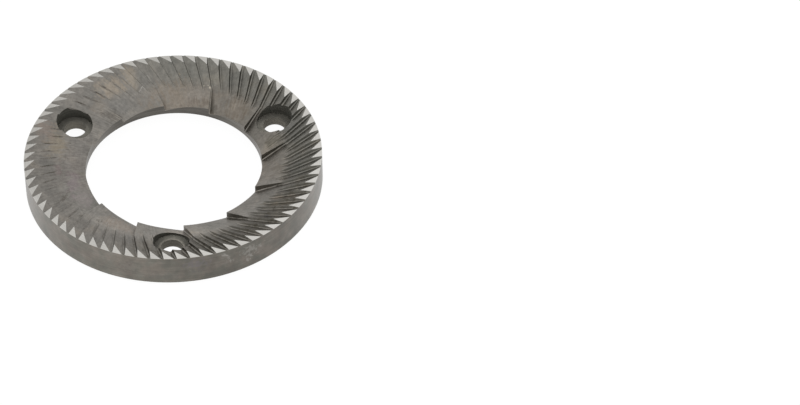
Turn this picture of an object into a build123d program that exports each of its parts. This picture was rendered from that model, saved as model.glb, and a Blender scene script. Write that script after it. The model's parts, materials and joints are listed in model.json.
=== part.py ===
from build123d import *
from math import cos, radians, sin, tan
import os

# A flat coffee grinder burr, in millimetres: one steel ring with the ground back rim on Z = 0, the
# axis on Z and the toothed face up. Angles run counter-clockwise from +X, seen from the teeth.

# Ring
outer_diameter = 64.0
bore_diameter = 38.0
height = 7.5  # back rim to the ground lands
land_width = 2.35  # from the rim to where the conical dish of the face begins
dish_depth = 2.87  # of the dish at the bore, below the lands

# Relieved back: a ground rim stands proud of a turned recess
rim_chamfer = 0.6
rim_width = 1.65
recess_depth = 2.0
recess_chamfer = 0.4  # left in the corner at the foot of the rim
bore_chamfer = 0.2

# Counterbored screw holes
screw_count = 3
screw_circle = 50.0
screw_angle = -90.0  # direction of the first hole
screw_hole = 4.8
head_bore = 7.8
head_depth = 3.5  # seat of the screw head, below the lands

# Pattern: every breaker step carries a set of finishing teeth
breaker_count = 12
teeth_per_breaker = 6
first_tooth_angle = 17.5  # leading corner at the rim of a tooth that carries a step

# Finishing teeth: slanting grooves that fall towards the bore and leave triangular lands at the rim
tooth_lean = 13.6  # lean of the cutting edge from the radius, at the rim
wall_draft = 27.4  # steep side of a groove, from the vertical
flank_angle = 23.4  # shallow side of a groove, from the land plane
root_width = 0.26  # narrow facet at the bottom of a groove, equally inclined to both sides
groove_rim_depth = 0.19
groove_fall = 0.221  # depth gained for each millimetre of run
tooth_run = 7.9  # along the cutting edge, from the rim to the neck where the groove turns level
level_run = 3.4  # level end of a groove, which runs out into the breaker face

# Breakers: twisted faces that drop to the bore, each ending in an upright step
step_angle = 7.25  # where the step of the first tooth meets the bore
breaker_high = 2.97  # depth at the bore, at the top of a step
breaker_low = 4.5  # depth at the bore, at the foot of the next step
neck_step = 0.65  # height of the step at the neck, where it becomes a tooth
step_foot = 0.22  # narrow facet in the corner at the foot of a step

# Cutting overlaps, which only pass through air
overlap = 1.0

outer_radius = outer_diameter / 2
bore_radius = bore_diameter / 2
recess_radius = outer_radius - rim_chamfer - rim_width
tooth_count = breaker_count * teeth_per_breaker
breaker_pitch = 360 / breaker_count

# Directions at a tooth whose leading corner lies on +X: along the cutting edge towards the bore, and
# across it, away from the tooth
edge_dir = Vector(-cos(radians(tooth_lean)), -sin(radians(tooth_lean)))
across_dir = Vector(sin(radians(tooth_lean)), -cos(radians(tooth_lean)))
up = Vector(0, 0, 1)
draft_ratio = tan(radians(wall_draft))
flank_ratio = 1 / tan(radians(flank_angle))
root_half_angle = radians(90 + wall_draft - flank_angle) / 2
root_reach = root_width / 2 / sin(root_half_angle)


def on_edge(run, depth):
    """Point of the groove's steep side at a run from the rim and a depth below the lands."""
    corner = Vector(outer_radius, 0, height)
    return corner + edge_dir * run + across_dir * depth * draft_ratio - up * depth


# One groove: a tilted V with a narrow root, first falling along the tooth, then level
neck_depth = groove_rim_depth + groove_fall * tooth_run
groove_rise = neck_depth + overlap
groove_start = on_edge(-overlap, groove_rim_depth - groove_fall * overlap)
groove_path = on_edge(tooth_run, neck_depth) - groove_start

with BuildPart() as groove:
    with BuildSketch(Plane(origin=groove_start, x_dir=across_dir, z_dir=edge_dir)):
        with BuildLine():
            Polyline(
                (-root_reach * sin(radians(wall_draft)), root_reach * cos(radians(wall_draft))),
                (root_reach * cos(radians(flank_angle)), root_reach * sin(radians(flank_angle))),
                (groove_rise * flank_ratio, groove_rise),
                (-groove_rise * draft_ratio, groove_rise),
                close=True,
            )
        make_face()
    extrude(amount=groove_path.length, dir=groove_path.normalized())
    neck_face = groove.faces().sort_by(Axis((0, 0, 0), edge_dir))[-1]
    extrude(neck_face, amount=level_run)

# One breaker: the space above the twisted face between two steps. Its sides follow the steps in
# plan, and its face is ruled between the bore and the neck.
neck_middle = on_edge(tooth_run, neck_depth - neck_step / 2).rotate(Axis.Z, first_tooth_angle)
neck_radius = Vector(neck_middle.X, neck_middle.Y).length


def step_point(turn, radius, high):
    """Point of a step's line at a radius, on the face that it stops or on the face that it begins."""
    bore_end = Vector(bore_radius, 0).rotate(Axis.Z, step_angle + turn)
    neck_end = Vector(neck_middle.X, neck_middle.Y).rotate(Axis.Z, turn)
    share = (radius - bore_radius) / (neck_radius - bore_radius)
    bore_depth = breaker_high if high else breaker_low
    end_depth = neck_depth - neck_step if high else neck_depth
    depth = bore_depth + (end_depth - bore_depth) * share
    return bore_end + (neck_end - bore_end) * share + up * (height - depth)


inner_reach = bore_radius - overlap
outer_reach = neck_radius + level_run

with BuildPart() as breaker:
    for radius in (inner_reach, outer_reach):
        begin = step_point(0, radius, True)
        end = step_point(breaker_pitch, radius, False)
        span = Vector(end.X - begin.X, end.Y - begin.Y)
        chord = span.length
        side = span.normalized()
        fall = begin.Z - end.Z
        with BuildSketch(Plane(origin=begin, x_dir=side, z_dir=side.cross(up))):
            with BuildLine():
                Polyline(
                    (-overlap, fall * overlap / chord),
                    (chord - step_foot, fall * (step_foot / chord - 1)),
                    (chord, step_foot - fall),
                    (chord, height),
                    (-overlap, height),
                    close=True,
                )
            make_face()
    loft(ruled=True)

with BuildPart() as burr:
    with BuildSketch(Plane.XZ):
        with BuildLine():
            Polyline(
                (bore_radius, recess_depth + bore_chamfer),
                (bore_radius + bore_chamfer, recess_depth),
                (recess_radius - recess_chamfer, recess_depth),
                (recess_radius, recess_depth - recess_chamfer),
                (recess_radius, 0),
                (outer_radius - rim_chamfer, 0),
                (outer_radius, rim_chamfer),
                (outer_radius, height),
                (outer_radius - land_width, height),
                (bore_radius, height - dish_depth),
                close=True,
            )
        make_face()
    revolve(axis=Axis.Z)
    with PolarLocations(0, breaker_count):
        add(breaker.part, mode=Mode.SUBTRACT)
    with PolarLocations(0, tooth_count, start_angle=first_tooth_angle):
        add(groove.part, mode=Mode.SUBTRACT)
    with Locations(Plane.XY.offset(height)):
        with PolarLocations(screw_circle / 2, screw_count, start_angle=screw_angle):
            CounterBoreHole(screw_hole / 2, head_bore / 2, head_depth)

os.makedirs("parts", exist_ok=True)
burr.part.label = "burr"
export_step(burr.part, "parts/burr.step")
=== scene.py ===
import bpy
import json
import math
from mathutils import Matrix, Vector


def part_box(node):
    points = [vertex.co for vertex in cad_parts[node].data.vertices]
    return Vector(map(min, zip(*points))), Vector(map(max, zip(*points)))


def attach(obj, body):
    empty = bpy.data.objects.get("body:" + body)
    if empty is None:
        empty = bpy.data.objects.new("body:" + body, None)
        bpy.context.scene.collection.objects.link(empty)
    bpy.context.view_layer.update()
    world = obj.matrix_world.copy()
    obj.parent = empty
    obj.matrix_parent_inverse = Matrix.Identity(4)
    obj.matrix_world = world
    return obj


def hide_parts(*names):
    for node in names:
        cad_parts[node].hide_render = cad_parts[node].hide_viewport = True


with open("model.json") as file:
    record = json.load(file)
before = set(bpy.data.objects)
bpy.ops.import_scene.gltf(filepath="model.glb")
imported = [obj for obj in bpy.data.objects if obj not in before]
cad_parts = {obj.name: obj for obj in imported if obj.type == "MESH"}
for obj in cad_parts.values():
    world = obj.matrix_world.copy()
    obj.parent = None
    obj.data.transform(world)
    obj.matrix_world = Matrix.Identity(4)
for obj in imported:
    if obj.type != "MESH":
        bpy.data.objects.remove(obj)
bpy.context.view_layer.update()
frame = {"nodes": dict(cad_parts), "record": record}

MM = 0.001

# Sizes of the ring in millimetres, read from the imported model
low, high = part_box("burr")
OUTER_RADIUS = (high.x - low.x) / 2 / MM
HEIGHT = (high.z - low.z) / MM
MOUNTS = {mount["name"]: mount for mount in frame["record"]["mounts"]}
BORE_RADIUS = MOUNTS["bore"]["dims"]["r_mm"]
SCREWS = MOUNTS["screws"]["dims"]
SCREW_CIRCLE = SCREWS["pcd_mm"] / 2
SCREW_COUNT = SCREWS["count"]
HOLE_RADIUS = SCREWS["hole_r_mm"]

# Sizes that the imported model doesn't name, in millimetres and degrees
SCREW_ANGLE = -90.0  # direction of the first screw hole
HEAD_RADIUS = 3.9  # of the counterbores for the screw heads
SEAT_DEPTH = 3.5  # of the counterbores, below the lands
RECESS_DEPTH = 2.0  # of the back
TEETH_BEGIN = 23.5  # radius where the breakers begin to give way to the teeth
TEETH_FULL = 26.5  # radius outside which there are teeth alone
TOOTH_COUNT = 72
TOOTH_LEAN = 13.6  # of the cutting edges from the radius, at the rim
FIRST_TOOTH = 17.5  # direction of the corner of a tooth at the rim
DISH_RADIUS = 29.65  # inside it the face falls, and the crests drift away from the line of the edge
CREST_DRIFT = 0.0627  # in tooth pitches for each millimetre inward
CREST_SHIFT = 0.64  # in pitches; it puts the narrow strip behind a crest at half a pitch
CREST_PHASE = CREST_DRIFT * DISH_RADIUS - (FIRST_TOOTH + TOOTH_LEAN) * TOOTH_COUNT / 360 + CREST_SHIFT
HOLES = [
    Vector((math.cos(math.radians(angle)), math.sin(math.radians(angle)))) * SCREW_CIRCLE
    for angle in (SCREW_ANGLE + 360 / SCREW_COUNT * i for i in range(SCREW_COUNT))
]

# How the faces of the ring are told apart, with bands and slacks in millimetres
LEVEL_RISE = 0.999  # the rise of a face is 1 or -1 where it lies level, looking up or down
UPRIGHT_RISE = 0.05  # the rise is 0 where a face stands upright
WALL_RISE = 0.62  # the walls of teeth and steps have less
BORE_RISE = 0.75  # the bore's wall and chamfer have less, up or down
BACK_RISE = -0.2  # the recess of the back and its chamfer have less
ROOT_LEAN = -0.2  # the narrow facets in groove roots and at step feet lean round the axis by less
BORE_BAND = 0.15  # from the bore's radius, outward
OUTSIDE_BAND = 0.7  # from the outer radius, inward
PLANE_SLACK = 0.01
WALL_SLACK = 0.05

# Joining of the ring's loose triangles
MERGE_DISTANCE = 0.0005  # millimetres
FLAT_ANGLE = 0.3  # faces that meet at less are one
SMOOTH_ANGLE = 15  # edges sharper than this stay sharp

# Marks, each with a colour, a place and half sizes in millimetres, a turn in degrees and a strength
MARK_CORE = 0.45  # in half sizes; a mark fades out from its core to its edge
MARK_EDGE = 1.25

# Patches that hardening and use left on the face
HEAT_TINT = (
    ("#77716c", (-21.5, -1.5), (4.0, 8.0), 0, 0.6),
    ("#73706c", (-20.0, 8.0), (3.4, 4.0), 0, 0.6),
    ("#8c8378", (0.6, 20.8), (6.6, 4.4), 0, 0.9),
    ("#8f8a84", (4.9, 21.4), (2.8, 3.8), 0, 0.9),
    ("#9a9083", (-14.3, 22.9), (3.0, 2.6), 35, 0.95),
    ("#978e81", (-9.8, 25.7), (1.6, 3.0), 20, 0.95),
    ("#938a7b", (-25.6, 6.0), (2.2, 4.4), 0, 0.9),
    ("#888178", (-16.5, 17.7), (1.6, 1.8), 0, 0.85),
    ("#8e837b", (-28.0, 9.2), (2.1, 3.2), 15, 0.85),
    ("#867d7d", (-21.3, -6.8), (1.4, 4.0), 0, 0.9),
    ("#7e766c", (13.4, 16.4), (3.4, 2.8), 0, 0.8),
    ("#757266", (-19.7, -2.1), (1.3, 1.3), 0, 0.8),
    ("#7a7873", (-6.9, 25.5), (1.9, 2.6), 0, 0.8),
    ("#7d7b77", (-11.8, 18.6), (2.7, 2.3), 0, 0.8),
    ("#898077", (-11.0, -19.0), (4.6, 2.2), -30, 0.85),
    ("#7c756c", (22.1, -3.3), (2.4, 3.0), 0, 0.6),
    ("#91877a", (24.0, -12.9), (3.4, 1.1), -14, 0.8),
    ("#89806f", (22.7, -14.9), (3.0, 1.0), -16, 0.8),
    ("#606066", (20.4, -18.6), (1.6, 1.0), -20, 0.7),
    ("#7e7274", (-20.9, -2.7), (1.6, 1.3), 0, 0.7),
    ("#7f7371", (-24.8, -2.3), (0.8, 1.3), 0, 0.6),
    ("#67635d", (-13.2, 15.6), (2.2, 1.8), 0, 0.8),
    ("#918a87", (-19.0, -10.4), (1.9, 2.6), 0, 0.8),
    ("#67645a", (21.6, 5.6), (2.0, 1.8), 0, 0.8),
    ("#7b736a", (4.9, 19.4), (2.6, 1.2), 0, 0.8),
    ("#56534b", (25.2, 4.0), (1.7, 1.7), 0, 0.7),
)
# Scratches and light specks
SCRATCHES = (
    ("#aba7a1", (-7.4, 23.1), (1.5, 0.12), 60, 0.5),
    ("#aba7a1", (-6.95, 23.4), (1.1, 0.11), -61, 0.45),
    ("#a39f99", (-5.7, 25.9), (2.0, 0.11), -67, 0.4),
    ("#c8c1b3", (6.2, 23.9), (0.24, 0.20), 0, 0.9),
    ("#cdc6b8", (7.75, 24.6), (0.20, 0.26), 0, 0.95),
    ("#c4bdaf", (7.65, 22.9), (0.18, 0.30), 0, 0.9),
    ("#c8c1b3", (7.2, 23.6), (0.14, 0.16), 0, 0.8),
    ("#b8a98f", (0.8, 27.2), (0.20, 0.22), 0, 0.8),
    ("#e0dacd", (26.6, -11.1), (0.36, 0.30), 20, 1.0),
    ("#c6bfb2", (23.2, -11.3), (0.20, 0.18), 0, 0.8),
)
# Dark smudges at the ends of grooves towards the bore, and painted shade below a step at the right of the
# front
DARK_SMUDGES_AND_STEP_SHADE = (
    ("#5c5750", (-23.1, -11.0), (1.2, 0.32), 60, 0.7),
    ("#66625b", (-22.1, -9.0), (0.6, 0.26), -77, 0.6),
    ("#5a554e", (-19.0, -16.6), (0.6, 0.32), 38, 0.75),
    ("#5a554e", (-15.2, -18.3), (0.6, 0.32), -23, 0.75),
    ("#66625b", (-26.2, -3.6), (0.9, 0.28), 18, 0.6),
    # painted shade: a dark line below the step, where its wall would show
    ("#46433d", (13.4, -17.4), (2.9, 0.45), -35, 0.9),
)
# Painted shade in the corners at the feet of two steps
STEP_FOOT_SHADE = (
    ("#403d38", (14.2, -16.2), (3.0, 2.6), -30, 1.3),
    ("#403d38", (22.6, -7.2), (2.8, 1.1), 15, 0.9),
)
# Painted light on the wall of a step at the far side, over the shade it has
PAINTED_LIGHT_STEP_WALL = (
    ("#b4aea6", (-3.3, 22.0), (1.8, 4.0), 0, 1.0),
)
# Light rubs and dull patches on the outside of the ring, round the front
SCUFFS = (
    ("#a9a6a1", (11.2, -29.9, 6.3), (0.5, 2.0, 0.45), 0, 0.42),
    ("#a4a19c", (11.9, -29.7, 5.2), (0.35, 2.0, 0.7), 0, 0.42),
    ("#a09d98", (12.5, -29.5, 4.1), (0.55, 2.0, 0.4), 0, 0.42),
    ("#a09d98", (16.3, -27.6, 2.6), (0.5, 2.0, 0.35), 0, 0.4),
    ("#9d9a95", (16.9, -27.2, 3.3), (0.3, 2.0, 0.3), 0, 0.35),
    ("#9d9a95", (18.6, -26.1, 5.0), (0.3, 2.0, 0.5), 0, 0.35),
    ("#6f6a6c", (5.2, -31.6, 5.6), (2.6, 3.0, 1.1), 0, 0.6),
    ("#645f5e", (5.6, -31.5, 3.4), (1.6, 3.0, 0.7), 0, 0.4),
    ("#6a6762", (-2.0, -31.9, 2.4), (3.6, 3.0, 0.9), 0, 0.4),
    ("#807b73", (-8.5, -30.8, 4.2), (3.0, 3.0, 1.2), 0, 0.5),
    ("#918e88", (16.7, -27.3, 5.0), (1.7, 2.0, 1.3), 0, 0.6),
)

# Floor
FLOOR_SIZE = 4.0  # metres
FLOOR_DROP = 0.02  # millimetres; it keeps the floor clear of the back rim, which lies on zero
FLOOR_GLOW = 1.04  # strength of the glow that makes the sheet white to the camera
GLOW_SHARE = 0.92  # the rest is plain paper, which holds the shadow

# Camera, in millimetres and degrees
CAMERA_DISTANCE = 924.58
CAMERA_ELEVATION = 43.694
CAMERA_AZIMUTH = -0.719
CAMERA_ROLL = -0.711
CAMERA_AIM = Vector((48.497, -8.488, 0.0))
CAMERA_LENS = 193.91
CAMERA_SENSOR = 36
CAMERA_REACH = (0.01, 20)  # nearest and farthest that it sees, in metres


def linear(hex_colour):
    """sRGB hex colour as linear RGBA."""
    parts = [int(hex_colour[i:i + 2], 16) / 255 for i in (1, 3, 5)]
    return [c / 12.92 if c <= 0.04045 else ((c + 0.055) / 1.055) ** 2.4 for c in parts] + [1.0]


def pattern(size):
    """Scale of a pattern whose features are about a number of millimetres wide."""
    return 1 / (size * MM)


def add_node(tree, kind, inputs=None, **settings):
    """Adds a node with its settings; an input is a value, or another node's output to link."""
    node = tree.nodes.new(kind)
    for name, value in settings.items():
        setattr(node, name, value)
    for socket, value in (inputs or {}).items():
        if isinstance(value, bpy.types.NodeSocket):
            tree.links.new(value, node.inputs[socket])
        else:
            node.inputs[socket].default_value = value
    return node


def new_material(name):
    """A material with no nodes yet, and its tree."""
    material = bpy.data.materials.new(name)
    material.use_nodes = True
    material.node_tree.nodes.clear()
    return material, material.node_tree


def finish_metal(tree, colour, roughness, relief, strength=0.3, depth=0.03, coat=None):
    """Ends the nodes of a metal with its shader, and with fine relief of a depth in millimetres."""
    bump = add_node(
        tree, "ShaderNodeBump", {"Height": relief, "Strength": strength, "Distance": depth * MM},
    )
    inputs = {"Base Color": colour, "Metallic": 1.0, "Roughness": roughness, "Normal": bump.outputs[0]}
    shader = add_node(tree, "ShaderNodeBsdfPrincipled", {**inputs, **(coat or {})})
    add_node(tree, "ShaderNodeOutputMaterial", {"Surface": shader.outputs[0]})


def set_ramp(ramp, stops):
    """Gives a colour ramp its stops, each a position and a colour."""
    elements = ramp.color_ramp.elements
    while len(elements) < len(stops):
        elements.new(1.0)
    for element, (position, colour) in zip(elements, stops):
        element.position = position
        element.color = linear(colour)


def edge_mask(tree, radius):
    """1 on sharp edges and in sharp corners, 0 on open faces."""
    eased = add_node(tree, "ShaderNodeBevel", {"Radius": radius * MM}, samples=6)
    plain = add_node(tree, "ShaderNodeNewGeometry")
    agree = add_node(
        tree, "ShaderNodeVectorMath", {0: eased.outputs[0], 1: plain.outputs["Normal"]},
        operation="DOT_PRODUCT",
    ).outputs["Value"]
    return add_node(tree, "ShaderNodeMapRange", {0: agree, 1: 0.995, 2: 0.90}).outputs[0]


def from_axis(tree, place):
    """The place without its height, and its distance from the axis."""
    flat = add_node(tree, "ShaderNodeVectorMath", {0: place, 1: (1, 1, 0)}, operation="MULTIPLY").outputs[0]
    radius = add_node(tree, "ShaderNodeVectorMath", {0: flat}, operation="LENGTH").outputs["Value"]
    return flat, radius


def tooth_frame(tree, place):
    """Distance from the axis, and the direction of the place after a turn that brings a cutting edge to one
    direction all along it: the edges all pass the axis at one distance."""
    flat, radius = from_axis(tree, place)
    miss = OUTER_RADIUS * math.sin(math.radians(TOOTH_LEAN)) * MM
    ratio = add_node(tree, "ShaderNodeMath", {0: miss, 1: radius}, operation="DIVIDE").outputs[0]
    turn = add_node(tree, "ShaderNodeMath", {0: ratio}, operation="ARCSINE").outputs[0]
    turned = add_node(
        tree, "ShaderNodeVectorRotate", {"Vector": flat, "Angle": turn}, rotation_type="Z_AXIS",
    ).outputs[0]
    along = add_node(tree, "ShaderNodeVectorMath", {0: turned}, operation="NORMALIZE").outputs[0]
    return radius, along


def toward(tree, place, angle, begin, end):
    """0 to 1 as the place lies farther out in a direction, between two distances in millimetres."""
    way = (math.cos(math.radians(angle)), math.sin(math.radians(angle)), 0)
    reach = add_node(
        tree, "ShaderNodeVectorMath", {0: place, 1: way}, operation="DOT_PRODUCT",
    ).outputs["Value"]
    return add_node(
        tree, "ShaderNodeMapRange", {0: reach, 1: begin * MM, 2: end * MM}, interpolation_type="SMOOTHSTEP",
    ).outputs[0]


def product(tree, *factors):
    """Several masks multiplied."""
    total = factors[0]
    for factor in factors[1:]:
        total = add_node(tree, "ShaderNodeMath", {0: total, 1: factor}, operation="MULTIPLY").outputs[0]
    return total


def ring_lines(tree, radius, spacing, detail):
    """Rings that a wheel or a lathe left round an axis. Real ones are finer than a pixel of the photograph,
    so the spacing, in millimetres, is as coarse as it needs to be to show."""
    ring = add_node(
        tree, "ShaderNodeMath", {0: radius, 1: pattern(spacing)}, operation="MULTIPLY",
    ).outputs[0]
    return add_node(
        tree, "ShaderNodeTexNoise", {"W": ring, "Scale": 1.0, "Detail": detail}, noise_dimensions="1D",
    ).outputs["Fac"]


def level_lines(tree, place, length, spacing, detail, roughness):
    """Lines that a lathe left level round the ring, of a length and a spacing in millimetres. They too are
    drawn coarser than they are, so that they show."""
    scale = (pattern(length), pattern(length), pattern(spacing))
    level = add_node(tree, "ShaderNodeMapping", {"Vector": place, "Scale": scale}).outputs[0]
    return add_node(
        tree, "ShaderNodeTexNoise",
        {"Vector": level, "Scale": 1.0, "Detail": detail, "Roughness": roughness},
    ).outputs["Fac"]


def stain(tree, hue, place, ragged, cloud, marks):
    """Lays marks over a colour. One pattern makes their outlines ragged, and another thins them out."""
    for tone, centre, half, turn, strength in marks:
        centre = Vector(centre).to_3d() * MM
        scale = [pattern(size) for size in half] + [0] * (3 - len(half))
        off = add_node(tree, "ShaderNodeVectorMath", {0: place, 1: centre}, operation="SUBTRACT").outputs[0]
        turned = add_node(
            tree, "ShaderNodeVectorRotate", {"Vector": off, "Angle": -math.radians(turn)},
            rotation_type="Z_AXIS",
        ).outputs[0]
        shrunk = add_node(
            tree, "ShaderNodeVectorMath", {0: turned, 1: scale}, operation="MULTIPLY",
        ).outputs[0]
        reach = add_node(tree, "ShaderNodeVectorMath", {0: shrunk}, operation="LENGTH").outputs["Value"]
        edge = add_node(tree, "ShaderNodeMath", {0: reach, 1: ragged}, operation="ADD").outputs[0]
        inside = add_node(
            tree, "ShaderNodeMapRange", {0: edge, 1: MARK_EDGE, 2: MARK_CORE, 4: strength},
        ).outputs[0]
        mask = product(tree, inside, cloud)
        hue = add_node(
            tree, "ShaderNodeMix", {0: mask, 6: hue, 7: linear(tone)}, data_type="RGBA",
        ).outputs[2]
    return hue


def cutter_streaks(tree, place, along):
    """Streaks that the cutter left along the teeth. Real ones are finer than a pixel of the photograph, so
    they are drawn 0.45 mm wide."""
    width = 0.45
    height = 0.9  # over which a streak changes on the walls
    around = add_node(
        tree, "ShaderNodeVectorMath", {0: along, "Scale": OUTER_RADIUS / width}, operation="SCALE",
    ).outputs[0]
    upward = add_node(
        tree, "ShaderNodeVectorMath", {0: place, 1: (0, 0, pattern(height))}, operation="MULTIPLY",
    ).outputs[0]
    lines = add_node(tree, "ShaderNodeVectorMath", {0: around, 1: upward}, operation="ADD").outputs[0]
    return add_node(
        tree, "ShaderNodeTexNoise", {"Vector": lines, "Scale": 1.0, "Detail": 3.0},
    ).outputs["Fac"]


def shade_face(tree, hue, place, toothed, value, breaker_tone):
    """Paints light and shade on the face. The breakers are lightest at the front, and the teeth are darker,
    but lighter at the far side and the right. The far right gets painted shade, with an olive cast on the
    teeth."""
    near = toward(tree, place, -90, 11, 21)
    breakers = add_node(
        tree, "ShaderNodeMapRange", {0: near, 3: 1.03 * breaker_tone, 4: 1.25 * breaker_tone},
    ).outputs[0]
    far = toward(tree, place, 105, 16, 26)
    teeth = add_node(tree, "ShaderNodeMapRange", {0: far, 3: 0.93, 4: 1.08}).outputs[0]
    faces = add_node(
        tree, "ShaderNodeMix", {0: toothed, 2: breakers, 3: teeth}, data_type="FLOAT",
    ).outputs[0]
    # painted light on the teeth at the right
    right = product(tree, toward(tree, place, -20, 17, 26), toothed)
    clear = add_node(tree, "ShaderNodeMapRange", {0: right, 3: 1.0, 4: 1.15}).outputs[0]
    tone = product(tree, value, faces, clear)
    toned = add_node(tree, "ShaderNodeVectorMath", {0: hue, "Scale": tone}, operation="SCALE").outputs[0]
    olive = add_node(
        tree, "ShaderNodeMix", {0: toothed, 6: (0.88, 0.865, 0.84, 1.0), 7: (0.855, 0.88, 0.865, 1.0)},
        data_type="RGBA",
    ).outputs[2]
    far_right_shade = add_node(
        tree, "ShaderNodeMix", {0: toward(tree, place, 40, 8, 20), 6: (1.0, 1.0, 1.0, 1.0), 7: olive},
        data_type="RGBA",
    ).outputs[2]
    return add_node(tree, "ShaderNodeVectorMath", {0: toned, 1: far_right_shade}, operation="MULTIPLY").outputs[0]


def add_residue(tree, hue, place, toothed, mottle, chips, amounts):
    """Lays coffee residue over the teeth at the front right: a dark film, darker clots and pale crumbs."""
    film_amount, crumb_amount = amounts
    front = toward(tree, place, -62, 15, 25)
    lumps = add_node(
        tree, "ShaderNodeTexNoise",
        {"Vector": place, "Scale": pattern(1.1), "Detail": 4.0, "Roughness": 0.65},
    ).outputs["Fac"]
    film_and_shade = add_node(tree, "ShaderNodeMapRange", {0: mottle, 1: 0.35, 2: 0.65, 4: film_amount}).outputs[0]
    clots = add_node(tree, "ShaderNodeMapRange", {0: lumps, 1: 0.50, 2: 0.60, 4: 0.68}).outputs[0]
    crumbs = add_node(tree, "ShaderNodeMapRange", {0: chips, 1: 0.55, 2: 0.62, 4: crumb_amount}).outputs[0]
    for layer, tone in ((film_and_shade, "#65625a"), (clots, "#4b473e"), (crumbs, "#857b69")):
        mask = product(tree, front, toothed, layer)
        hue = add_node(
            tree, "ShaderNodeMix", {0: mask, 6: hue, 7: linear(tone)}, data_type="RGBA",
        ).outputs[2]
    return hue


def crest_lines(tree, place, radius, along, mottle):
    """1 on thin broken lines of residue behind the crests, at the left and fainter at the front left."""
    parts = add_node(tree, "ShaderNodeSeparateXYZ", {0: along})
    angle = add_node(
        tree, "ShaderNodeMath", {0: parts.outputs[1], 1: parts.outputs[0]}, operation="ARCTAN2",
    ).outputs[0]
    count = add_node(
        tree, "ShaderNodeMath", {0: angle, 1: TOOTH_COUNT / (2 * math.pi), 2: CREST_PHASE},
        operation="MULTIPLY_ADD",
    ).outputs[0]
    drift = add_node(
        tree, "ShaderNodeMath", {0: radius, 1: -CREST_DRIFT / MM, 2: count}, operation="MULTIPLY_ADD",
    ).outputs[0]
    share = add_node(tree, "ShaderNodeMath", {0: drift}, operation="FRACT").outputs[0]
    apart = add_node(tree, "ShaderNodeMath", {0: share, 1: 0.5}, operation="SUBTRACT").outputs[0]
    apart = add_node(tree, "ShaderNodeMath", {0: apart}, operation="ABSOLUTE").outputs[0]
    line = add_node(tree, "ShaderNodeMapRange", {0: apart, 1: 0.22, 2: 0.14}).outputs[0]
    begin = add_node(tree, "ShaderNodeMapRange", {0: radius, 1: 24.8 * MM, 2: 25.6 * MM}).outputs[0]
    stop = add_node(tree, "ShaderNodeMapRange", {0: radius, 1: 28.9 * MM, 2: 28.0 * MM}).outputs[0]
    broken = add_node(tree, "ShaderNodeMapRange", {0: mottle, 1: 0.42, 2: 0.56, 3: 0.15}).outputs[0]
    left = toward(tree, place, 160, 17, 25)
    faint = product(tree, toward(tree, place, 240, 14, 24), 0.55)
    sides = add_node(tree, "ShaderNodeMath", {0: left, 1: faint}, operation="MAXIMUM").outputs[0]
    return product(tree, line, begin, stop, broken, sides)


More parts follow.
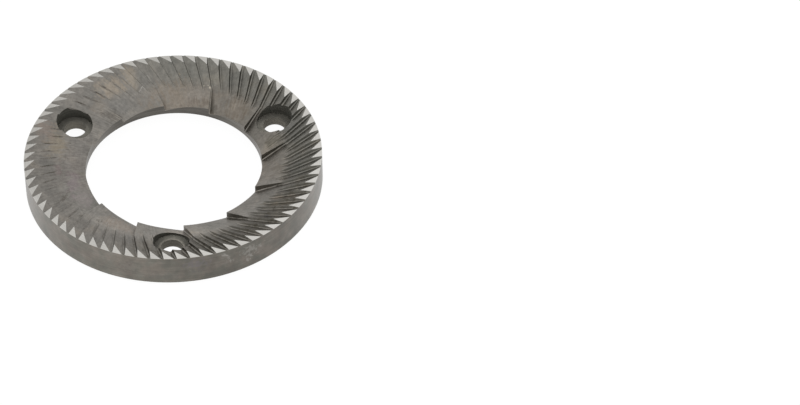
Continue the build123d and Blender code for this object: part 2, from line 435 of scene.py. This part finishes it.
def hardened_steel(name, stops, contrast, roughness, breaker, marks, scratches_and_shade=(), residue=(0.6, 0.5)):
    """Hardened tool steel as it comes from the furnace: dull warm grey with tan heat-tint patches, fine
    cutter streaks along the teeth, coffee residue in the teeth, lighter worn edges, and painted light and
    shade.
    The breakers inside the teeth were milled with a coarser cutter, so they have a tone and a roughness of
    their own."""
    breaker_tone, breaker_roughness = breaker
    material, tree = new_material(name)
    place = add_node(tree, "ShaderNodeTexCoord").outputs["Object"]
    radius, along = tooth_frame(tree, place)
    toothed = add_node(
        tree, "ShaderNodeMapRange", {0: radius, 1: TEETH_BEGIN * MM, 2: TEETH_FULL * MM},
    ).outputs[0]
    streaks = cutter_streaks(tree, place, along)
    clouds = add_node(
        tree, "ShaderNodeTexNoise",
        {"Vector": place, "Scale": pattern(6), "Detail": 5.0, "Roughness": 0.66, "Distortion": 0.4},
    ).outputs["Fac"]
    mottle = add_node(
        tree, "ShaderNodeTexNoise",
        {"Vector": place, "Scale": pattern(1.8), "Detail": 5.0, "Roughness": 0.7, "Distortion": 0.3},
    ).outputs["Fac"]
    speckle = add_node(
        tree, "ShaderNodeTexNoise",
        {"Vector": place, "Scale": pattern(0.7), "Detail": 4.0, "Roughness": 0.7},
    ).outputs["Fac"]
    chips = add_node(
        tree, "ShaderNodeTexNoise", {"Vector": place, "Scale": pattern(0.22), "Detail": 3.0},
    ).outputs["Fac"]

    # Clouds of the hardening, with the known patches, the painted light and shade given as marks, and
    # scratches on top of them
    colour = add_node(tree, "ShaderNodeValToRGB", {"Fac": clouds})
    set_ramp(colour, stops)
    torn = add_node(tree, "ShaderNodeMix", {0: 0.5, 2: mottle, 3: streaks}, data_type="FLOAT").outputs[0]
    ragged = add_node(tree, "ShaderNodeMapRange", {0: torn, 1: 0.36, 2: 0.64, 3: -0.6, 4: 0.6}).outputs[0]
    thinned = add_node(tree, "ShaderNodeMapRange", {0: torn, 1: 0.40, 2: 0.60, 3: 1.0, 4: 0.45}).outputs[0]
    hue = stain(tree, colour.outputs[0], place, ragged, thinned, marks)
    chipped = add_node(tree, "ShaderNodeMapRange", {0: chips, 1: 0.35, 2: 0.65, 3: -0.8, 4: 0.8}).outputs[0]
    hue = stain(tree, hue, place, chipped, 1.0, scratches_and_shade)

    # Light and dark of fine speckle, streaks and mottle, then the painted light and shade of the whole face
    grain = add_node(tree, "ShaderNodeMix", {0: 0.4, 2: speckle, 3: streaks}, data_type="FLOAT").outputs[0]
    blend = add_node(tree, "ShaderNodeMix", {0: 0.3, 2: grain, 3: mottle}, data_type="FLOAT").outputs[0]
    value = add_node(
        tree, "ShaderNodeMapRange", {0: blend, 1: 0.38, 2: 0.62, 3: 1 - contrast, 4: 1 + contrast},
    ).outputs[0]
    hue = shade_face(tree, hue, place, toothed, value, breaker_tone)

    # Residue, and wear on the edges, which is broken into short lengths
    hue = add_residue(tree, hue, place, toothed, mottle, chips, residue)
    lines = crest_lines(tree, place, radius, along, mottle)
    hue = add_node(
        tree, "ShaderNodeMix", {0: lines, 6: hue, 7: linear("#433e37")}, data_type="RGBA",
    ).outputs[2]
    bare = add_node(tree, "ShaderNodeMapRange", {0: speckle, 1: 0.40, 2: 0.62, 3: 0.15, 4: 0.9}).outputs[0]
    wear_and_highlight = product(tree, edge_mask(tree, 0.10), bare)
    hue = add_node(
        tree, "ShaderNodeMix", {0: wear_and_highlight, 6: hue, 7: linear("#a09c95")}, data_type="RGBA",
    ).outputs[2]
    polish = add_node(
        tree, "ShaderNodeMapRange", {0: toothed, 3: breaker_roughness, 4: roughness},
    ).outputs[0]
    finish_metal(tree, hue, polish, grain, strength=0.25)
    return material


def ground_steel(name, stops):
    """Bare ground steel of the lands and the back rim: the only bright finish, with fine grinding lines. It
    has painted light, lighter at the right of the front."""
    material, tree = new_material(name)
    place = add_node(tree, "ShaderNodeTexCoord").outputs["Object"]
    lines = ring_lines(tree, from_axis(tree, place)[1], 0.25, 2.0)
    clouds = add_node(
        tree, "ShaderNodeTexNoise", {"Vector": place, "Scale": pattern(5), "Detail": 4.0},
    ).outputs["Fac"]
    mixed = add_node(tree, "ShaderNodeMix", {0: 0.5, 2: lines, 3: clouds}, data_type="FLOAT").outputs[0]
    # painted light and shade across the lands, lighter towards the right of the front
    painted_light_side = (0.9 * pattern(OUTER_RADIUS), -0.45 * pattern(OUTER_RADIUS), 0)
    side = add_node(
        tree, "ShaderNodeVectorMath", {0: place, 1: painted_light_side}, operation="DOT_PRODUCT",
    ).outputs["Value"]
    lean = add_node(tree, "ShaderNodeMapRange", {0: side, 1: -1.0, 2: 1.0, 3: -0.16, 4: 0.16}).outputs[0]
    leaning = add_node(tree, "ShaderNodeMath", {0: mixed, 1: lean}, operation="ADD").outputs[0]
    colour = add_node(tree, "ShaderNodeValToRGB", {"Fac": leaning})
    set_ramp(colour, stops)
    finish_metal(tree, colour.outputs[0], 0.32, lines, strength=0.15, depth=0.01)
    return material


def turned_steel():
    """Turned outside of the ring: even warm grey, blotched by hardening, lightly oiled and scuffed."""
    material, tree = new_material("turned_steel")
    place = add_node(tree, "ShaderNodeTexCoord").outputs["Object"]
    blotches = add_node(
        tree, "ShaderNodeTexNoise",
        {"Vector": place, "Scale": pattern(4), "Detail": 6.0, "Roughness": 0.65},
    ).outputs["Fac"]
    lines = level_lines(tree, place, 9, 0.35, 3.0, 0.5)
    mixed = add_node(tree, "ShaderNodeMix", {0: 0.3, 2: blotches, 3: lines}, data_type="FLOAT").outputs[0]
    colour = add_node(tree, "ShaderNodeValToRGB", {"Fac": mixed})
    set_ramp(colour, [(0.28, "#605d58"), (0.50, "#757169"), (0.72, "#8b867f")])

    # Darker at the right of the front, with faint reddish and greenish clouds of the hardening
    front = toward(tree, place, -60, 24, 31)
    shade = add_node(tree, "ShaderNodeMapRange", {0: front, 3: 1.0, 4: 0.80}).outputs[0]
    toned = add_node(
        tree, "ShaderNodeVectorMath", {0: colour.outputs[0], "Scale": shade}, operation="SCALE",
    ).outputs[0]
    clouds = add_node(
        tree, "ShaderNodeTexNoise",
        {"Vector": place, "Scale": pattern(2.6), "Detail": 5.0, "Roughness": 0.6},
    ).outputs["Fac"]
    share = add_node(tree, "ShaderNodeMapRange", {0: clouds, 1: 0.40, 2: 0.60}).outputs[0]
    tints = add_node(
        tree, "ShaderNodeMix", {0: share, 6: (0.92, 0.95, 0.94, 1.0), 7: (1.10, 1.05, 1.04, 1.0)},
        data_type="RGBA",
    ).outputs[2]
    toned = add_node(tree, "ShaderNodeVectorMath", {0: toned, 1: tints}, operation="MULTIPLY").outputs[0]

    # The known rubs, small scuffs all over, and worn edges
    speck = add_node(
        tree, "ShaderNodeTexNoise", {"Vector": place, "Scale": pattern(0.6), "Detail": 3.0},
    ).outputs["Fac"]
    ragged = add_node(tree, "ShaderNodeMapRange", {0: speck, 1: 0.35, 2: 0.65, 3: -0.7, 4: 0.9}).outputs[0]
    marked = stain(tree, toned, place, ragged, 1.0, SCUFFS)
    fleck = add_node(
        tree, "ShaderNodeTexNoise",
        {"Vector": place, "Scale": pattern(1.6), "Detail": 5.0, "Roughness": 0.75},
    ).outputs["Fac"]
    scuff = add_node(tree, "ShaderNodeMapRange", {0: fleck, 1: 0.64, 2: 0.74, 4: 0.4}).outputs[0]
    wear_and_highlight = add_node(
        tree, "ShaderNodeMath", {0: scuff, 1: edge_mask(tree, 0.12)}, operation="MAXIMUM",
    ).outputs[0]
    final = add_node(
        tree, "ShaderNodeMix", {0: wear_and_highlight, 6: marked, 7: linear("#9d9891")}, data_type="RGBA",
    ).outputs[2]
    oil = {"Coat Weight": 0.35, "Coat Roughness": 0.35}
    finish_metal(tree, final, 0.4, mixed, strength=0.2, coat=oil)
    return material


def recess_steel():
    """Turned recess of the back: mottled grey-brown with rings from the lathe."""
    material, tree = new_material("turned_back_steel")
    place = add_node(tree, "ShaderNodeTexCoord").outputs["Object"]
    lines = ring_lines(tree, from_axis(tree, place)[1], 0.4, 3.0)
    mottle = add_node(
        tree, "ShaderNodeTexNoise",
        {"Vector": place, "Scale": pattern(7), "Detail": 6.0, "Roughness": 0.62, "Distortion": 0.9},
    ).outputs["Fac"]
    colour = add_node(tree, "ShaderNodeValToRGB", {"Fac": mottle})
    browns = [(0.32, "#868480"), (0.44, "#8a8782"), (0.52, "#877f78"), (0.60, "#8f8881"), (0.70, "#98948e")]
    set_ramp(colour, browns)
    speckle = add_node(
        tree, "ShaderNodeTexNoise",
        {"Vector": place, "Scale": pattern(1.5), "Detail": 5.0, "Roughness": 0.7},
    ).outputs["Fac"]
    mixed = add_node(tree, "ShaderNodeMix", {0: 0.3, 2: speckle, 3: lines}, data_type="FLOAT").outputs[0]
    value = add_node(tree, "ShaderNodeMapRange", {0: mixed, 1: 0.38, 2: 0.62, 3: 0.84, 4: 1.16}).outputs[0]
    toned = add_node(
        tree, "ShaderNodeVectorMath", {0: colour.outputs[0], "Scale": value}, operation="SCALE",
    ).outputs[0]
    finish_metal(tree, toned, 0.42, lines)
    return material


def bored_steel(name, stops, roughness, sides=1.0):
    """Bored and drilled walls in the greys given; the dark greys given for the bore and counterbore walls
    are painted shade.
    """
    material, tree = new_material(name)
    place = add_node(tree, "ShaderNodeTexCoord").outputs["Object"]
    lines = level_lines(tree, place, 5, 0.4, 4.0, 0.6)
    colour = add_node(tree, "ShaderNodeValToRGB", {"Fac": lines})
    set_ramp(colour, stops)
    # The painted shade at the far side has its full tone; sides is the tone of the rest
    far = toward(tree, place, 97, 10.5, 16.5)
    film_and_shade = add_node(tree, "ShaderNodeMapRange", {0: far, 3: sides, 4: 1.0}).outputs[0]
    toned = add_node(
        tree, "ShaderNodeVectorMath", {0: colour.outputs[0], "Scale": film_and_shade}, operation="SCALE",
    ).outputs[0]
    wear_and_highlight = edge_mask(tree, 0.10)
    final = add_node(
        tree, "ShaderNodeMix", {0: wear_and_highlight, 6: toned, 7: linear("#8f8a84")}, data_type="RGBA",
    ).outputs[2]
    finish_metal(tree, final, roughness, lines)
    return material


def seat_steel():
    """Seats of the screw heads: turned rings, with a painted highlight at the edge of the hole."""
    material, tree = new_material("seat_steel")
    place = add_node(tree, "ShaderNodeTexCoord").outputs["Object"]
    flat, radius = from_axis(tree, place)
    reach = 1.0  # from the nearest hole's axis; it starts at a metre, farther than any
    for hole in HOLES:
        off = add_node(
            tree, "ShaderNodeVectorMath", {0: flat, 1: hole.to_3d() * MM}, operation="SUBTRACT",
        ).outputs[0]
        length = add_node(tree, "ShaderNodeVectorMath", {0: off}, operation="LENGTH").outputs["Value"]
        reach = add_node(tree, "ShaderNodeMath", {0: length, 1: reach}, operation="MINIMUM").outputs[0]
    lines = ring_lines(tree, reach, 0.3, 3.0)
    speckle = add_node(
        tree, "ShaderNodeTexNoise",
        {"Vector": place, "Scale": pattern(0.8), "Detail": 4.0, "Roughness": 0.7},
    ).outputs["Fac"]
    mixed = add_node(tree, "ShaderNodeMix", {0: 0.5, 2: lines, 3: speckle}, data_type="FLOAT").outputs[0]
    colour = add_node(tree, "ShaderNodeValToRGB", {"Fac": mixed})
    set_ramp(colour, [(0.35, "#706f69"), (0.65, "#908d85")])
    # Where the face dips towards the bore the seat lies nearly open, so it is painted lighter there
    open_seat_light = add_node(
        tree, "ShaderNodeMapRange", {0: radius, 1: 24.5 * MM, 2: 22 * MM, 3: 1.0, 4: 1.4},
    ).outputs[0]
    toned = add_node(
        tree, "ShaderNodeVectorMath", {0: colour.outputs[0], "Scale": open_seat_light}, operation="SCALE",
    ).outputs[0]
    # painted highlight near the edge of the hole
    hole_edge_highlight = add_node(tree, "ShaderNodeMapRange", {0: reach, 1: 3.0 * MM, 2: 2.6 * MM}).outputs[0]
    # The painted highlight is strongest at the hole at the front
    front = add_node(
        tree, "ShaderNodeMapRange", {0: toward(tree, place, -90, 18, 22), 3: 0.25, 4: 1.0},
    ).outputs[0]
    bare = add_node(tree, "ShaderNodeMapRange", {0: speckle, 1: 0.38, 2: 0.6, 3: 0.5, 4: 1.0}).outputs[0]
    wear_and_highlight = product(tree, hole_edge_highlight, front, bare)
    final = add_node(
        tree, "ShaderNodeMix", {0: wear_and_highlight, 6: toned, 7: linear("#b3afa6")}, data_type="RGBA",
    ).outputs[2]
    finish_metal(tree, final, 0.9, lines)
    return material


def make_finishes():
    """All finishes of the ring, by name."""
    grey = [(0.30, "#73716c"), (0.45, "#7a7772"), (0.58, "#817d77"), (0.74, "#8e877d")]
    # darker greys for the walls of teeth and steps: painted shade
    wall_shade_greys = [(0.30, "#62605b"), (0.45, "#686661"), (0.58, "#6e6b65"), (0.74, "#767169")]
    finishes = (
        hardened_steel(
            "hardened_tool_steel", grey, contrast=0.24, roughness=0.34, breaker=(1.1, 0.5),
            # the smudges include painted shade below a step
            marks=HEAT_TINT, scratches_and_shade=SCRATCHES + DARK_SMUDGES_AND_STEP_SHADE,
        ),
        ground_steel("ground_steel", [(0.30, "#b0aea9"), (0.70, "#d0cec9")]),
        turned_steel(),
        recess_steel(),
        # dark greys of the counterbore walls: painted shade
        bored_steel("drilled_steel", [(0.30, "#5d5c56"), (0.70, "#72716a")], roughness=0.75, sides=0.95),
        seat_steel(),
        hardened_steel(
            "tooth_wall_shaded_steel", wall_shade_greys, contrast=0.20, roughness=0.30, breaker=(1.2, 0.5),
            # painted light on the wall of one step
            marks=PAINTED_LIGHT_STEP_WALL, residue=(0.4, 0.2),
        ),
        # dark greys of the bore wall, darkest at the far side: painted shade
        bored_steel("bored_steel", [(0.30, "#56534f"), (0.70, "#6b6863")], roughness=0.4, sides=1.6),
        hardened_steel(
            "groove_root_steel", grey, contrast=0.24, roughness=0.36, breaker=(1.08, 0.36),
            # painted shade in the corners at two step feet
            marks=HEAT_TINT + STEP_FOOT_SHADE, residue=(0.7, 0.2),
        ),
        ground_steel("ground_back_steel", [(0.30, "#9f9d98"), (0.70, "#b9b7b2")]),
        bored_steel("screw_hole_steel", [(0.30, "#78756e"), (0.70, "#8e8a80")], roughness=0.75),
    )
    return {material.name: material for material in finishes}


def face_finish(face):
    """Name of the finish that a face of the ring has."""
    z = face.center.z / MM
    rise = face.normal.z
    lean = face.normal.to_2d()
    centre = face.center.to_2d() / MM
    radius = centre.length
    level = abs(rise) > LEVEL_RISE
    from_hole = min((centre - hole).length for hole in HOLES)
    if level and z > HEIGHT - PLANE_SLACK:
        return "ground_steel"
    if level and z < PLANE_SLACK:
        return "ground_back_steel"
    if level and rise > 0 and from_hole < HEAD_RADIUS and z < HEIGHT - SEAT_DEPTH + PLANE_SLACK:
        return "seat_steel"
    if abs(rise) < UPRIGHT_RISE and from_hole < HEAD_RADIUS + WALL_SLACK:
        return "drilled_steel" if from_hole > HOLE_RADIUS + WALL_SLACK else "screw_hole_steel"
    if radius < BORE_RADIUS + BORE_BAND and abs(rise) < BORE_RISE and lean.dot(centre) < 0:
        return "bored_steel"
    if radius > OUTER_RADIUS - OUTSIDE_BAND and rise < UPRIGHT_RISE and z > PLANE_SLACK:
        return "turned_steel"
    if rise < BACK_RISE or z < RECESS_DEPTH:
        return "turned_back_steel"
    # walls of teeth and steps get the finish with painted shade
    if rise < WALL_RISE:
        return "tooth_wall_shaded_steel"
    turning = Vector((-centre.y, centre.x)) / radius
    if lean.dot(turning) < ROOT_LEAN:
        return "groove_root_steel"
    return "hardened_tool_steel"


def make_burr():
    """The ring with its edges joined up, in the finishes of the real steel."""
    bpy.ops.object.select_all(action="DESELECT")
    mesh = frame["nodes"]["burr"].data.copy()
    piece = bpy.data.objects.new("burr_ring", mesh)
    bpy.context.scene.collection.objects.link(piece)
    piece.select_set(True)
    bpy.context.view_layer.objects.active = piece
    bpy.ops.object.mode_set(mode="EDIT")
    bpy.ops.mesh.select_all(action="SELECT")
    bpy.ops.mesh.customdata_custom_splitnormals_clear()
    bpy.ops.mesh.remove_doubles(threshold=MERGE_DISTANCE * MM)
    bpy.ops.mesh.dissolve_limited(angle_limit=math.radians(FLAT_ANGLE))
    bpy.ops.object.mode_set(mode="OBJECT")
    mesh.materials.clear()
    finishes = make_finishes()
    for material in finishes.values():
        mesh.materials.append(material)
    slots = {name: number for number, name in enumerate(finishes)}
    for face in mesh.polygons:
        face.material_index = slots[face_finish(face)]
    bpy.ops.object.shade_smooth_by_angle(angle=math.radians(SMOOTH_ANGLE))
    return piece


def make_floor():
    """Pale sheet under the burr: white to the camera and in reflections, and plain paper to other light."""
    bpy.ops.object.select_all(action="DESELECT")
    bpy.ops.mesh.primitive_plane_add(size=FLOOR_SIZE, location=(0, 0, -FLOOR_DROP * MM))
    bpy.ops.object.transform_apply(location=True, rotation=False, scale=False)
    floor = bpy.context.active_object
    floor.name = "floor"
    material, tree = new_material("white_paper")
    paper = add_node(
        tree, "ShaderNodeBsdfPrincipled",
        {"Base Color": linear("#f6f6f5"), "Roughness": 0.9, "Specular IOR Level": 0.1},
    )
    glow = add_node(tree, "ShaderNodeEmission", {"Color": linear("#ffffff"), "Strength": FLOOR_GLOW})
    lit = add_node(tree, "ShaderNodeMixShader", {0: GLOW_SHARE, 1: paper.outputs[0], 2: glow.outputs[0]})
    ray = add_node(tree, "ShaderNodeLightPath")
    seen = ray.outputs["Is Camera Ray"]
    for kind in ("Is Glossy Ray", "Is Transmission Ray"):
        seen = add_node(
            tree, "ShaderNodeMath", {0: seen, 1: ray.outputs[kind]}, operation="MAXIMUM",
        ).outputs[0]
    shader = add_node(tree, "ShaderNodeMixShader", {0: seen, 1: paper.outputs[0], 2: lit.outputs[0]})
    add_node(tree, "ShaderNodeOutputMaterial", {"Surface": shader.outputs[0]})
    floor.data.materials.append(material)


def make_light():
    """A white tent all round."""
    world = bpy.data.worlds.new("white_tent")
    bpy.context.scene.world = world
    world.use_nodes = True
    tree = world.node_tree
    tree.nodes.clear()
    tent = add_node(tree, "ShaderNodeBackground", {"Color": linear("#ffffff"), "Strength": 1.0})
    add_node(tree, "ShaderNodeOutputWorld", {"Surface": tent.outputs[0]})


def make_camera():
    """The photograph's long lens, looking down on the burr, which stands left of the picture's middle."""
    data = bpy.data.cameras.new("photo_camera")
    camera = bpy.data.objects.new("photo_camera", data)
    bpy.context.scene.collection.objects.link(camera)
    azimuth = math.radians(CAMERA_AZIMUTH)
    elevation = math.radians(CAMERA_ELEVATION)
    back = Vector((
        math.sin(azimuth) * math.cos(elevation),
        -math.cos(azimuth) * math.cos(elevation),
        math.sin(elevation),
    ))
    camera.matrix_world = (-back).to_track_quat("-Z", "Y").to_matrix().to_4x4()
    camera.location = (CAMERA_AIM + back * CAMERA_DISTANCE) * MM
    camera.rotation_euler.rotate_axis("Z", math.radians(CAMERA_ROLL))
    data.sensor_width = CAMERA_SENSOR
    data.lens = CAMERA_LENS
    data.clip_start, data.clip_end = CAMERA_REACH
    bpy.context.scene.camera = camera


bpy.context.scene.view_settings.view_transform = "Standard"
burr = make_burr()
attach(burr, "root")
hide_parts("burr")
make_floor()
make_light()
make_camera()
